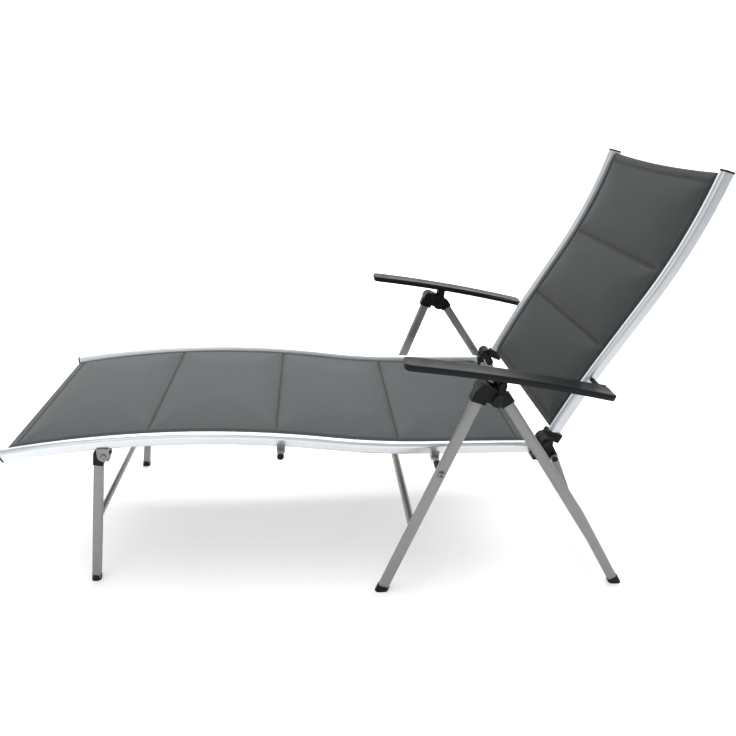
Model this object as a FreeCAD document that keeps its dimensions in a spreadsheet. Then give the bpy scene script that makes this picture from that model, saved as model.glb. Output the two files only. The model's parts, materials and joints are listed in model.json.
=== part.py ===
"""Reclining sun lounger: an aluminium frame with a padded sling, folding legs and armrests.

X runs from the foot end to the head end, Y across (the sitter's left side is -Y), Z up.
The origin is on the floor under the middle of the frame. The back stands at its lowest notch.
"""
import FreeCAD, Part
import math
import os
import Sketcher

Vector = FreeCAD.Vector

# Driving dimensions, in millimetres and degrees. Heights are above the floor.
DIMENSIONS = {
    # side rails: a racetrack section whose upper edge leans outwards
    "rail_depth": 34, "rail_width": 19, "rail_tilt": 15,
    "seat_half": 257, "back_half": 249,
    "seat_end": 452, "seat_height": 373.5,
    "flat_run": 277, "dip_radius": 1704, "knee_run": 50, "knee_radius": 2300,
    "knee_angle": 6.74, "foot_angle": 10.715,
    "back_base": 494, "back_base_height": 396, "back_angle": 68,
    "lumbar_radius": 2400, "lumbar_turn": 5.5, "shoulder_run": 150,
    "head_radius": 1140, "head_turn": 15,
    "cap_length": 4, "cap_rim": 1.4,
    # sling
    "sling_thickness": 9, "sling_lift": 4, "sling_gap": 2.5,
    "sling_end_gap": 16, "sling_free_gap": 3,
    # cross tubes under the seat and behind the back
    "tube_size": 16, "cross_reach": 286, "plug_length": 3, "tube_gap": 1,
    "mid_tube_run": 609, "saddle_length": 19, "saddle_width": 17,
    "back_tube_low": 110, "back_tube_high": 520, "back_tube_drop": 9,
    # hinge between the seat and the back
    "hinge_run": 470, "hinge_height": 398, "hinge_pin": 10, "ear_size": 32,
    "ear_outer": 267.5, "block_inner": 269, "block_outer": 287, "block_wall": 2.5,
    "sleeve_length": 11, "sleeve_lip": 1.5, "collar_wall": 3, "collar_length": 22,
    "pin_gap": 0.5, "head_length": 2.5, "head_gap": 0.3,
    "link_eye_run": 492, "link_eye_height": 362, "link_eye_size": 22, "link_pin": 8,
    # front and rear legs
    "leg_half": 327, "front_leg_depth": 28, "rear_leg_depth": 25, "leg_thickness": 15,
    "leg_pivot_run": 210, "leg_pivot_height": 348, "front_leg_angle": 71,
    "front_leg_above": 226, "front_leg_below": 360,
    "knuckle_run": 317.6, "knuckle_height": 546.8, "knuckle_size": 40, "lug_size": 38,
    "rear_leg_angle": -54.3, "rear_leg_offset": 10.8, "rear_leg_start": 12,
    "rear_leg_upper": 384, "rear_leg_turn": 3.5, "rear_leg_bend": 500, "rear_leg_lower": 232,
    "front_stretcher_run": 166, "rear_stretcher_run": 170,
    "stretcher_size": 19, "rear_stretcher_size": 16,
    "shoe_wall": 1.8, "shoe_length": 8, "shoe_drop": 20,
    "socket_wall": 3.5, "socket_length": 31, "rear_socket_length": 18,
    "shoulder_size": 35, "shoulder_rise": 2,
    "bolt_size": 9, "bolt_socket": 6, "washer_size": 17, "knuckle_head": 28,
    "bolt_grip": 26, "bore_run_out": 4,
    "cheek_inner": 309, "cheek_outer": 345, "cheek_thickness": 7, "running_gap": 1,
    "bore_clearance": 0.1,
    # link between the hinge block and the rear leg
    "link_length": 127.9, "link_angle": -64.6, "link_width": 17,
    "link_inner": 290.5, "link_outer": 297.5, "rivet_size": 10, "rivet_reach": 317.5,
    # armrests
    "arm_pivot_run": 322, "arm_pivot_height": 581, "arm_pin": 8, "arm_lug": 17.6,
    "arm_front": 219, "arm_rear": 262, "arm_angle": -8.8, "arm_width": 50,
    "arm_thickness": 15, "arm_lift": 8.5, "arm_radius": 4200,
    "bracket_inner": 304.5, "bracket_outer": 349.5, "bracket_thickness": 3.5,
    "rack_pitch": 19, "rack_width": 6.5, "rack_start": 145, "rack_end": 256,
    "rack_top": 16.2, "rack_bottom": 8.4, "lug_rise": 3,
    "stud_size": 10, "notch_size": 11.4, "stud_run": 171, "stud_reach": 294,
    # foot legs
    "foot_leg_half": 255, "foot_leg_depth": 20, "foot_leg_width": 18,
    "foot_pivot_run": 1007, "foot_pivot_drop": 31, "foot_leg_angle": -98.7,
    "foot_leg_offset": 12,
    "foot_leg_start": 14, "foot_leg_length": 350, "foot_tube_run": 185, "foot_tube_size": 14,
    "fork_size": 22, "fork_wall": 1.5, "foot_pin": 8,
    "plate_size": 26, "plate_thickness": 3, "plate_gap": 0.5, "plate_rise": 6, "plate_web": 8,
}

doc = FreeCAD.newDocument("SunLounger")
sheet = doc.addObject("Spreadsheet::Sheet", "Dims")
for row, (alias, size) in enumerate(DIMENSIONS.items(), start=1):
    sheet.set(f"A{row}", alias)
    sheet.set(f"B{row}", str(size))
    sheet.setAlias(f"B{row}", alias)
doc.recompute()

# The pieces to export, by node name.
pieces = {}
SIDES = {"left": -1, "right": 1}


def dim(alias):
    """The value of a driving dimension."""
    return float(sheet.get(alias))


def bind(target, **expressions):
    """Binds properties of an object to expressions over the sheet's aliases."""
    for name, expression in expressions.items():
        for alias in sorted(DIMENSIONS, key=len, reverse=True):
            expression = expression.replace("{" + alias + "}", "Dims." + alias)
        target.setExpression(name, expression)


def heading(run, across, height, angle):
    """A placement whose local Z heads at an angle above +X in the side view."""
    turn = FreeCAD.Rotation(Vector(0, 1, 0), 90 - angle)
    return FreeCAD.Placement(Vector(run, across, height), turn)


def moved(placement, side=0, across=0, along=0):
    """A placement shifted in its own frame."""
    shift = FreeCAD.Placement(Vector(side, across, along), FreeCAD.Rotation())
    return placement.multiply(shift)


def keep(label, piece):
    """Names a finished piece and lists it for export."""
    piece.Label = label
    pieces[label] = piece
    return piece


# ---------------------------------------------------------------- sketches and bodies


def new_body(name, placement):
    """An empty body at a placement."""
    body = doc.addObject("PartDesign::Body", name)
    body.Placement = placement
    return body


def new_sketch(body, name, plane, turn=0):
    """A sketch on one of the body's origin planes, turned about the plane's normal."""
    sketch = body.newObject("Sketcher::SketchObject", name)
    origin = [item for item in body.Origin.OriginFeatures if item.Role == plane]
    sketch.AttachmentSupport = [(origin[0], "")]
    sketch.MapMode = "FlatFace"
    sketch.AttachmentOffset = FreeCAD.Placement(Vector(), FreeCAD.Rotation(Vector(0, 0, 1), turn))
    return sketch


def slot_profile(body, depth, width, turn=0):
    """A racetrack outline around the origin: `depth` along X and `width` along Y."""
    sketch = new_sketch(body, "Profile", "XY_Plane", turn)
    radius, reach = 5, 10
    right = Part.Circle(Vector(reach, 0, 0), Vector(0, 0, 1), radius)
    left = Part.Circle(Vector(-reach, 0, 0), Vector(0, 0, 1), radius)
    quarter = math.pi / 2
    sketch.addGeometry(Part.ArcOfCircle(right, -quarter, quarter))
    sketch.addGeometry(Part.LineSegment(Vector(reach, radius, 0), Vector(-reach, radius, 0)))
    sketch.addGeometry(Part.ArcOfCircle(left, quarter, 3 * quarter))
    sketch.addGeometry(Part.LineSegment(Vector(-reach, -radius, 0), Vector(reach, -radius, 0)))
    start, end, centre = 1, 2, 3
    for first, second in ((0, 1), (1, 2), (2, 3), (3, 0)):
        sketch.addConstraint(Sketcher.Constraint("Tangent", first, end, second, start))
    sketch.addConstraint(Sketcher.Constraint("Equal", 0, 2))
    sketch.addConstraint(Sketcher.Constraint("Horizontal", 1))
    sketch.addConstraint(Sketcher.Constraint("Symmetric", 0, centre, 2, centre, -1, 1))
    round_size = sketch.addConstraint(Sketcher.Constraint("Radius", 0, radius))
    sketch.renameConstraint(round_size, "round")
    straight = sketch.addConstraint(Sketcher.Constraint("Distance", 1, 2 * reach))
    sketch.renameConstraint(straight, "straight")
    bind(sketch, **{"Constraints.round": f"({width}) / 2",
                    "Constraints.straight": f"({depth}) - ({width})"})
    return sketch


def box_profile(body, depth, width, shift="0"):
    """A rectangle: `depth` along X, centred at `shift`, and `width` along Y."""
    sketch = new_sketch(body, "Profile", "XY_Plane")
    corners = [Vector(-5, -10, 0), Vector(5, -10, 0), Vector(5, 10, 0), Vector(-5, 10, 0)]
    for first, second in zip(corners, corners[1:] + corners[:1]):
        sketch.addGeometry(Part.LineSegment(first, second))
    for index in range(4):
        sketch.addConstraint(Sketcher.Constraint("Coincident", index, 2, (index + 1) % 4, 1))
        way = "Horizontal" if index % 2 == 0 else "Vertical"
        sketch.addConstraint(Sketcher.Constraint(way, index))
    sizes = {
        "low_side": (("DistanceX", 0, 1, -1, 1, 5), f"({depth}) / 2 - ({shift})"),
        "high_side": (("DistanceX", -1, 1, 0, 2, 5), f"({depth}) / 2 + ({shift})"),
        "low_edge": (("DistanceY", 0, 1, -1, 1, 10), f"({width}) / 2"),
        "high_edge": (("DistanceY", -1, 1, 1, 2, 10), f"({width}) / 2"),
    }
    for name, (constraint, expression) in sizes.items():
        index = sketch.addConstraint(Sketcher.Constraint(*constraint))
        sketch.renameConstraint(index, name)
        bind(sketch, **{f"Constraints.{name}": expression})
    return sketch


def path_sketch(body, steps):
    """A tangent path in the side plane that starts at the origin and heads up.

    Each step is (length, turn) in millimetres and degrees; a turn to the left is positive.
    """
    sketch = new_sketch(body, "Path", "XZ_Plane")
    point, angle = Vector(0, 0, 0), 90.0
    for length, turn in steps:
        ahead = Vector(math.cos(math.radians(angle)), math.sin(math.radians(angle)), 0)
        if turn:
            radius = length / math.radians(turn)
            centre = point + Vector(-ahead.y, ahead.x, 0) * radius
            spokes = []
            for part in (0.5, 1):
                spoke = point - centre
                spin = FreeCAD.Rotation(Vector(0, 0, 1), turn * part)
                spokes.append(centre + spin.multVec(spoke))
            sketch.addGeometry(Part.Arc(point, spokes[0], spokes[1]))
            point = spokes[1]
        else:
            after = point + ahead * length
            sketch.addGeometry(Part.LineSegment(point, after))
            point = after
        angle += turn
    return sketch


def pipe_body(placement, steps, profile):
    """A body swept along a side-view path; `profile` draws its section in the body."""
    body = new_body("Swept", placement)
    section = profile(body)
    path = path_sketch(body, steps)
    doc.recompute()
    pipe = body.newObject("PartDesign::AdditivePipe", "Sweep")
    pipe.Profile = section
    pipe.Spine = (path, [f"Edge{index + 1}" for index in range(len(steps))])
    return body


def bar_body(name, placement, length, profile):
    """A straight body of the section that `profile` draws, `length` long along local Z."""
    body = new_body(name, placement)
    pad = body.newObject("PartDesign::Pad", "Bar")
    pad.Profile = profile(body)
    bind(pad, Length=length)
    return body


# ---------------------------------------------------------------- part primitives


def rod(diameter, placement, start, end):
    """A cylinder along the placement's local Y, from `start` to `end` across."""
    cylinder = doc.addObject("Part::Cylinder", "Rod")
    bind(cylinder, Radius=f"({diameter}) / 2", Height=f"({end}) - ({start})")
    across = FreeCAD.Placement(Vector(0, 0, 0), FreeCAD.Rotation(Vector(1, 0, 0), -90))
    cylinder.Placement = moved(placement, across=value(start)).multiply(across)
    return cylinder


def value(expression):
    """The number that an expression over the aliases gives."""
    for alias in sorted(DIMENSIONS, key=len, reverse=True):
        expression = expression.replace("{" + alias + "}", repr(dim(alias)))
    numbers = expression.replace(" ", "")
    return FreeCAD.Units.Quantity(numbers).Value


def block(placement, side, across, along):
    """A box in the placement's frame; each argument is its (start, end) as expressions."""
    box = doc.addObject("Part::Box", "Block")
    sizes = [f"({end}) - ({start})" for start, end in (side, across, along)]
    bind(box, Length=sizes[0], Width=sizes[1], Height=sizes[2])
    box.Placement = moved(placement, value(side[0]), value(across[0]), value(along[0]))
    return box


def fused(*shapes):
    """One solid of several overlapping ones."""
    joined = doc.addObject("Part::MultiFuse", "Joined")
    joined.Shapes = list(shapes)
    joined.Refine = True
    return joined


def cut(base, *tools):
    """A solid less one or more others."""
    for tool in tools:
        result = doc.addObject("Part::Cut", "Trimmed")
        result.Base = base
        result.Tool = tool
        base = result
    return base


def group(label, *shapes):
    """Identical separate solids that share one node."""
    compound = doc.addObject("Part::Compound", "Group")
    compound.Links = list(shapes)
    return keep(label, compound)


def disc(placement, diameter, start, end):
    """A disc across the lounger, centred on a placement."""
    return rod(diameter, placement, start, end)


def mirrored_range(side, inner, outer):
    """The (start, end) of a span across the lounger, on the left or the right."""
    if side > 0:
        return inner, outer
    return f"0 - ({outer})", f"0 - ({inner})"


def at(run, height, angle=90):
    """A placement in the middle plane at a point given by two aliases."""
    return heading(dim(run), 0, dim(height), angle)


def walk(placement, steps, distance):
    """The placement at a distance along a path that starts at `placement`."""
    for length, turn in steps:
        part = min(distance, length)
        swing = turn * part / length
        if turn:
            radius = length / math.radians(turn)
            ahead = radius * math.sin(math.radians(swing))
            left = radius * (1 - math.cos(math.radians(swing)))
            placement = moved(placement, side=-left, along=ahead)
        else:
            placement = moved(placement, along=part)
        swung = FreeCAD.Placement(Vector(), FreeCAD.Rotation(Vector(0, 1, 0), -swing))
        placement = placement.multiply(swung)
        distance -= part
        if distance <= 0:
            break
    return placement


def arc_step(radius, turn):
    """The (length, turn) step of an arc."""
    return radius * abs(math.radians(turn)), turn


# ---------------------------------------------------------------- frame lines

SEAT_STEPS = [
    (dim("flat_run"), 0),
    arc_step(dim("dip_radius"), -dim("knee_angle")),
    (dim("knee_run"), 0),
    arc_step(dim("knee_radius"), dim("knee_angle") + dim("foot_angle")),
]
BACK_STEPS = [
    arc_step(dim("lumbar_radius"), -dim("lumbar_turn")),
    (dim("shoulder_run"), 0),
    arc_step(dim("head_radius"), dim("head_turn")),
]
SEAT_LENGTH = sum(length for length, turn in SEAT_STEPS)
BACK_LENGTH = sum(length for length, turn in BACK_STEPS)
SEAT_START = heading(dim("seat_end"), 0, dim("seat_height"), 180)
BACK_START = heading(dim("back_base"), 0, dim("back_base_height"), dim("back_angle"))
HINGE = at("hinge_run", "hinge_height")
LINK_EYE = at("link_eye_run", "link_eye_height", dim("link_angle"))
LEG_PIVOT = at("leg_pivot_run", "leg_pivot_height", dim("front_leg_angle"))
KNUCKLE = at("knuckle_run", "knuckle_height", dim("rear_leg_angle"))
ARM_PIVOT = at("arm_pivot_run", "arm_pivot_height", dim("arm_angle"))
REAR_STEPS = [
    (dim("rear_leg_upper"), 0),
    arc_step(dim("rear_leg_bend"), -dim("rear_leg_turn")),
    (dim("rear_leg_lower"), 0),
]
REAR_START = moved(KNUCKLE, side=-dim("rear_leg_offset"), along=dim("rear_leg_start"))
FOOT_TOP = walk(SEAT_START, SEAT_STEPS, dim("foot_pivot_run"))
FOOT_PIVOT = heading(FOOT_TOP.Base.x, 0, FOOT_TOP.Base.z - dim("foot_pivot_drop"), 90)
FOOT_LINE = moved(heading(FOOT_PIVOT.Base.x, 0, FOOT_PIVOT.Base.z, dim("foot_leg_angle")),
                  side=dim("foot_leg_offset"))


def trimmed_steps(steps, start, end):
    """The steps with a length taken off each end."""
    (first, first_turn), (last, last_turn) = steps[0], steps[-1]
    opening = (first - start, first_turn * (first - start) / first)
    closing = (last - end, last_turn * (last - end) / last)
    return [opening] + steps[1:-1] + [closing]


def rail(label, start, steps, side, lean):
    """A side rail; its section leans outwards at the edge that the sitter sees."""
    across = side * dim("seat_half" if start is SEAT_START else "back_half")
    turn = side * lean * dim("rail_tilt")
    return keep(label, pipe_body(moved(start, across=across), steps, lambda body: slot_profile(
        body, "{rail_depth}", "{rail_width}", turn)))


def rail_caps(label, start, steps, half, lean):
    """The pair of caps that close the far ends of two rails."""
    length = sum(step[0] for step in steps)
    caps = []
    for side in SIDES.values():
        end = moved(walk(start, steps, length), across=side * dim(half))
        turn = side * lean * dim("rail_tilt")
        caps.append(bar_body("Cap", end, "{cap_length}", lambda body: slot_profile(
            body, "{rail_depth} + {cap_rim}", "{rail_width} + {cap_rim}", turn)))
    return group(label, *caps)


def sling(label, start, steps, half, lift):
    """The plain slab that stands for a padded sling between two rails."""
    gap, free_gap = dim("sling_end_gap"), dim("sling_free_gap")
    width = "2 * ({" + half + "} - {rail_width} / 2 - {sling_gap})"
    slab = pipe_body(walk(start, steps, gap), trimmed_steps(steps, gap, free_gap),
                     lambda body: box_profile(body, "{sling_thickness}", width, lift))
    keep(label, slab)


# ---------------------------------------------------------------- seat


def seat_rails():
    """The two long rails of the seat and leg rest."""
    return [rail(f"seat_rail_{name}", SEAT_START, SEAT_STEPS, side, 1)
            for name, side in SIDES.items()]


def seat_tube(label, placement, rails):
    """A tube across under both rails, held to each by a saddle; returns its saddles."""
    tube = rod("{tube_size}", placement, "0 - {cross_reach}", "{cross_reach}")
    if label == "pivot_crossbar":
        bolt = "{bolt_size} + {bore_clearance}"
        deep_end = "{cross_reach} - {bolt_grip} - {bore_run_out}"
        tube = cut(tube, *[rod(bolt, placement, *mirrored_range(side, deep_end, "{cross_reach}"))
                           for side in SIDES.values()])
    keep(label, tube)
    saddles = []
    for side, side_rail in zip(SIDES.values(), rails):
        half_width = "{saddle_width} / 2"
        across = mirrored_range(side, "{seat_half} - " + half_width, "{seat_half} + " + half_width)
        plate = block(placement, ("0 - {saddle_length} / 2", "{saddle_length} / 2"), across,
                      ("0 - {tube_size} / 4", "{rail_depth}"))
        around = rod("{tube_size}", placement, *across)
        saddles.append(cut(plate, around, side_rail, above_rail(placement, across)))
    return saddles


def above_rail(placement, across):
    """A box that takes away what would stick out above the middle of a seat rail."""
    return block(placement, ("0 - {saddle_length}", "{saddle_length}"), across,
                 ("{tube_size} / 2 + {rail_depth} / 3", "{rail_depth} * 2"))


def seat_tubes(rails):
    """The tube that the front legs turn on and the tube at the middle of the seat."""
    under = dim("rail_depth") / 2 + dim("tube_size") / 2 + dim("tube_gap")
    middle = walk(SEAT_START, SEAT_STEPS, dim("mid_tube_run"))
    middle = heading(middle.Base.x, 0, middle.Base.z - under, 90)
    pivot = at("leg_pivot_run", "leg_pivot_height")
    saddles = seat_tube("middle_crossbar", middle, rails) + seat_tube("pivot_crossbar", pivot, rails)
    group("crossbar_saddles", *saddles)
    leg_bolt = rod("{bolt_size} + {bore_clearance}", pivot, "0 - {leg_half}", "{leg_half}")
    plugs = []
    for side in SIDES.values():
        span = mirrored_range(side, "{cross_reach}", "{cross_reach} + {plug_length}")
        plugs.append(rod("{tube_size}", middle, *span))
        plugs.append(cut(rod("{tube_size}", pivot, *span), leg_bolt))
    group("crossbar_plugs", *plugs)


# ---------------------------------------------------------------- hinge


def hinge_block(name, side, side_rail):
    """The casting on the end of a seat rail, with the hinge eye and the link's eye."""
    sleeve_across = mirrored_range(side, "{seat_half} - {rail_width} / 2 - {block_wall}",
                                   "{block_outer}")
    plate_across = mirrored_range(side, "{block_inner}", "{block_outer}")
    end = moved(SEAT_START, along=-dim("sleeve_lip"))
    depth = ("0 - {rail_depth} / 2 - {block_wall}", "{rail_depth} / 2 + {block_wall}")
    sleeve = block(end, depth, sleeve_across, ("0", "{sleeve_length}"))
    bridge = block(end, ("0 - {rail_depth} / 3", "{rail_depth} / 2"), plate_across,
                   ("0 - {hinge_run} + {seat_end}", "{sleeve_length} / 2"))
    eye = disc(HINGE, "{ear_size}", *plate_across)
    link_eye = disc(LINK_EYE, "{link_eye_size}", *plate_across)
    gap = LINK_EYE.Base - HINGE.Base
    slope = math.degrees(math.atan2(gap.z, gap.x))
    web = block(heading(HINGE.Base.x, 0, HINGE.Base.z, slope),
                ("0 - {link_eye_size} / 2", "{link_eye_size} / 2"), plate_across,
                ("0", "{link_eye_size} * 2"))
    casting = fused(sleeve, bridge, eye, link_eye, web)
    keep(f"hinge_block_{name}", cut(casting, side_rail, rod("{hinge_pin}", HINGE, *plate_across),
                                    rod("{link_pin}", LINK_EYE, *plate_across)))


def headed_pin(placement, size, head, side, inner, outer, head_inner):
    """A pin with a flat head on its outer end."""
    shank = rod(size, placement, *mirrored_range(side, inner, head_inner))
    cap = disc(placement, head, *mirrored_range(side, head_inner, outer))
    return fused(shank, cap)


def hinge_pins():
    """The pins of the back hinge and of the link's upper eye."""
    group("hinge_pins", *[
        headed_pin(HINGE, "{hinge_pin}", "{ear_size} / 2", side, "{back_half} + {pin_gap}",
                   "{block_outer} + {head_length}", "{block_outer}") for side in SIDES.values()])
    group("link_pins", *[
        headed_pin(LINK_EYE, "{link_pin}", "{link_pin} * 1.7", side, "{block_inner}",
                   "{link_outer} + {head_length}", "{link_outer} + {head_gap}")
        for side in SIDES.values()])


# ---------------------------------------------------------------- back


def back_frame():
    """The back's rails, caps, cross tubes, hinge collars, studs and sling."""
    rails = [rail(f"back_rail_{name}", BACK_START, BACK_STEPS, side, -1)
             for name, side in SIDES.items()]
    rail_caps("back_top_caps", BACK_START, BACK_STEPS, "back_half", -1)
    for label, run in (("back_crossbar_lower", "back_tube_low"),
                       ("back_crossbar_upper", "back_tube_high")):
        place = moved(walk(BACK_START, BACK_STEPS, dim(run)), side=dim("back_tube_drop"))
        tube = rod("{tube_size}", place, "0 - {back_half}", "{back_half}")
        keep(label, cut(tube, *rails))
    for (name, side), side_rail in zip(SIDES.items(), rails):
        hinge_collar(name, side, side_rail)
    stud_place = walk(BACK_START, BACK_STEPS, dim("stud_run"))
    group("adjuster_studs", *[
        cut(rod("{stud_size}", stud_place, *mirrored_range(side, "{back_half}", "{stud_reach}")),
            side_rail) for side, side_rail in zip(SIDES.values(), rails)])
    sling("back_sling", BACK_START, BACK_STEPS, "back_half", "0 - {sling_lift}")


def hinge_collar(name, side, side_rail):
    """The collar on the foot of a back rail, with the ear that turns on the hinge pin."""
    half_width = "{rail_width} / 2 + {collar_wall}"
    across = mirrored_range(side, "{back_half} - (" + half_width + ")",
                            "{back_half} + " + half_width)
    collar = block(BACK_START, ("0 - {rail_depth} / 2 - {collar_wall}",
                                "{rail_depth} / 2 + {collar_wall}"), across,
                   ("0 - {collar_wall} * 2", "{collar_length} - {collar_wall} * 2"))
    ear_across = mirrored_range(side, "{back_half}", "{ear_outer}")
    ear = disc(HINGE, "{ear_size}", *ear_across)
    bore = rod("{hinge_pin} + {bore_clearance}", HINGE, *ear_across)
    keep(f"hinge_collar_{name}", cut(fused(collar, ear), side_rail, bore))


# ---------------------------------------------------------------- legs


def shoe(leg, end, depth):
    """A plastic shoe around the lower end of a leg, cut flat on the floor."""
    across = "{leg_thickness} + 2 * {shoe_wall}"
    outer = bar_body("Shoe", moved(end, along=-dim("shoe_length")),
                     "{shoe_length} + {shoe_drop}",
                     lambda body: slot_profile(body, depth + " + 2 * {shoe_wall}", across))
    ground = block(heading(end.Base.x, 0, 0, 90), ("0 - {leg_half}", "{leg_half}"),
                   ("0 - {leg_half} * 2", "{leg_half} * 2"), ("0 - {leg_half}", "0"))
    return cut(outer, leg, ground)


def front_legs():
    """The front legs with their sockets, bolts, shoes and stretcher."""
    foot = moved(LEG_PIVOT, along=-dim("front_leg_below"))
    turned = FreeCAD.Placement(Vector(), FreeCAD.Rotation(Vector(0, 1, 0), 180))
    shoes, bolts, knuckle_bolts, bushes = [], [], [], []
    for name, side in SIDES.items():
        across = side * dim("leg_half")
        bar = bar_body("Leg", moved(foot, across=across), "{front_leg_above} + {front_leg_below}",
                       lambda body: slot_profile(body, "{front_leg_depth}", "{leg_thickness}"))
        shoes.append(shoe(bar, moved(foot, across=across).multiply(turned), "{front_leg_depth}"))
        outer_face = "{leg_half} + {leg_thickness} / 2"
        inner_face = "{leg_half} - {leg_thickness} / 2"
        leg = cut(bar, rod("{bolt_size}", LEG_PIVOT, *mirrored_range(side, inner_face, outer_face)))
        keep(f"front_leg_{name}", leg)
        front_socket(name, side, bar)
        bolt = headed_pin(LEG_PIVOT, "{bolt_size}", "{washer_size}", side,
                          "{cross_reach} - {bolt_grip}", outer_face + " + 2 * {head_length}",
                          outer_face)
        bolts.append(cut(bolt, rod("{bolt_socket}", LEG_PIVOT, *mirrored_range(
            side, outer_face + " + {head_length} / 2", outer_face + " + 2 * {head_length}"))))
        bush_span = mirrored_range(side, "{cross_reach} + {plug_length} + {head_gap}", inner_face)
        bushes.append(cut(rod("{tube_size}", LEG_PIVOT, *bush_span),
                          rod("{bolt_size}", LEG_PIVOT, *bush_span)))
        knuckle_bolts.append(knuckle_bolt(side))
    group("front_shoes", *shoes)
    group("leg_pivot_bolts", *bolts)
    group("leg_bushes", *bushes)
    group("knuckle_bolts", *knuckle_bolts)
    stretcher("front_stretcher", "{stretcher_size}",
              moved(LEG_PIVOT, along=-dim("front_stretcher_run")))


def knuckle_bolt(side):
    """The bolt that holds the two legs and the armrest bracket together."""
    inner, outer = "{bracket_inner} - {head_gap}", "{bracket_outer} + {head_gap}"
    shank = rod("{bolt_size}", KNUCKLE, *mirrored_range(side, inner, outer))
    nut = disc(KNUCKLE, "{washer_size}", *mirrored_range(side, inner + " - {head_length}", inner))
    head = disc(KNUCKLE, "{knuckle_head}", *mirrored_range(side, outer, outer + " + {head_length}"))
    return fused(shank, nut, head)


def front_socket(name, side, leg):
    """The knuckle half on the front leg: a round-topped socket and two cheeks at the bolt."""
    wall = "{leg_thickness} / 2 + {socket_wall}"
    half_depth = "{front_leg_depth} / 2 + {socket_wall}"
    middle = mirrored_range(side, "{leg_half} - (" + wall + ")", "{leg_half} + " + wall)
    top = "{front_leg_above} + {shoulder_rise}"
    socket = block(LEG_PIVOT, ("0 - (" + half_depth + ")", half_depth), middle,
                   (top + " - {socket_length}", top))
    shoulder = moved(LEG_PIVOT, along=value(top))
    reach = KNUCKLE.Base - shoulder.Base
    slope = math.degrees(math.atan2(reach.z, reach.x))
    bridge = heading(shoulder.Base.x, 0, shoulder.Base.z, slope)
    cheeks = []
    for low, high in (("{cheek_inner}", "{cheek_inner} + {cheek_thickness}"),
                      ("{cheek_outer} - {cheek_thickness}", "{cheek_outer}")):
        across = mirrored_range(side, low, high)
        cheeks.append(disc(KNUCKLE, "{knuckle_size}", *across))
        cheeks.append(disc(shoulder, "{shoulder_size}", *across))
        cheeks.append(block(bridge, ("0 - {shoulder_size} / 2", "{shoulder_size} / 2"), across,
                            ("0", repr(reach.Length))))
    crown = disc(shoulder, "{shoulder_size}", *middle)
    bolt = rod("{bolt_size}", KNUCKLE, *mirrored_range(side, "{cheek_inner}", "{cheek_outer}"))
    keep(f"knuckle_front_{name}", cut(fused(socket, crown, *cheeks), leg, bolt))


def rear_legs():
    """The rear legs with their sockets, shoes and stretcher."""
    shoes = []
    for name, side in SIDES.items():
        start = moved(REAR_START, across=side * dim("leg_half"))
        leg = keep(f"rear_leg_{name}", pipe_body(start, REAR_STEPS, lambda body: slot_profile(
            body, "{rear_leg_depth}", "{leg_thickness}")))
        length = sum(step[0] for step in REAR_STEPS)
        shoes.append(shoe(leg, walk(start, REAR_STEPS, length), "{rear_leg_depth}"))
        rear_socket(name, side, leg)
    group("rear_shoes", *shoes)
    reach = dim("rear_leg_upper") + REAR_STEPS[1][0] + dim("rear_stretcher_run")
    stretcher("rear_stretcher", "{rear_stretcher_size}", walk(REAR_START, REAR_STEPS, reach))


def rear_socket(name, side, leg):
    """The knuckle half on the rear leg: a lug between the cheeks and a socket."""
    wall = "{leg_thickness} / 2 + {socket_wall} - {running_gap}"
    across = mirrored_range(side, "{leg_half} - (" + wall + ")", "{leg_half} + " + wall)
    half_depth = "{rear_leg_depth} / 2 + {socket_wall}"
    socket = block(moved(KNUCKLE, side=-dim("rear_leg_offset")),
                   ("0 - (" + half_depth + ")", half_depth), across,
                   ("{rear_leg_start} - {socket_wall}", "{rear_leg_start} + {rear_socket_length}"))
    lug = disc(KNUCKLE, "{lug_size}", *across)
    neck = block(KNUCKLE, ("0 - {rear_leg_offset} - {rear_leg_depth} / 2", "{socket_wall}"),
                 across, ("0", "{rear_leg_start}"))
    bore = rod("{bolt_size} + {bore_clearance}", KNUCKLE, *across)
    keep(f"knuckle_rear_{name}", cut(fused(socket, lug, neck), leg, bore))


def stretcher(label, size, placement):
    """The tube that ties a pair of legs together."""
    reach = "{leg_half} - {leg_thickness} / 2"
    keep(label, rod(size, placement, "0 - (" + reach + ")", reach))


def hinge_links():
    """The flat links that fold the rear legs; each ends in a rivet boss at the leg."""
    for name, side in SIDES.items():
        across = mirrored_range(side, "{link_inner}", "{link_outer}")
        end = moved(LINK_EYE, along=dim("link_length"))
        bar = block(LINK_EYE, ("0 - {link_width} / 2", "{link_width} / 2"), across,
                    ("0", "{link_length}"))
        boss = rod("{rivet_size}", end, *mirrored_range(side, "{link_outer}", "{rivet_reach}"))
        link = fused(bar, disc(LINK_EYE, "{link_width}", *across),
                     disc(end, "{link_width}", *across), boss)
        bore = rod("{link_pin} + {bore_clearance}", LINK_EYE, *across)
        keep(f"hinge_link_{name}", cut(link, bore))


# ---------------------------------------------------------------- armrests


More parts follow.
